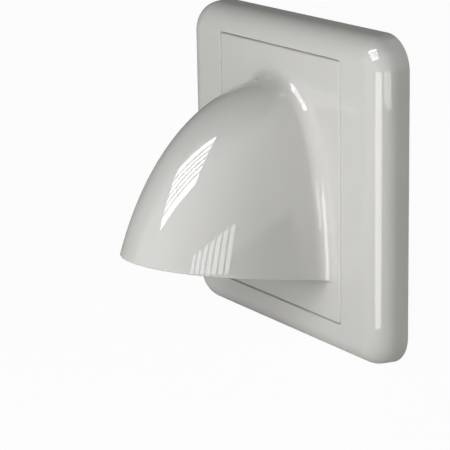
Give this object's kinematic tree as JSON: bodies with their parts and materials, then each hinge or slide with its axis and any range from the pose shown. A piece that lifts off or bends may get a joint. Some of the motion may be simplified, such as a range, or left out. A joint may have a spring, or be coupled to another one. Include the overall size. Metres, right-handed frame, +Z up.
{
  "type": "media wall plate",
  "caption": "Square wall plate whose centre insert carries an open, downward-facing hood that guides cables out of the wall.",
  "frame": {"origin": "on the wall, midway between the two fixing screws, at the middle of the surround frame's back", "axes": "+Z up, +Y into the wall, +X to the right as seen from the room"},
  "size_m": [0.086, 0.064, 0.086],
  "materials": {
    "frame_plastic": "high gloss, pale grey white",
    "insert_plastic": "high gloss, pale grey white",
    "chassis_plastic": "satin moulded grey",
    "screw_steel": "zinc plated"
  },
  "bodies": {
    "root": {"surround_frame": "frame_plastic", "hood_insert": "insert_plastic", "chassis": "chassis_plastic", "fixing_screw_left": "screw_steel", "fixing_screw_right": "screw_steel"}
  },
  "joints": []
}
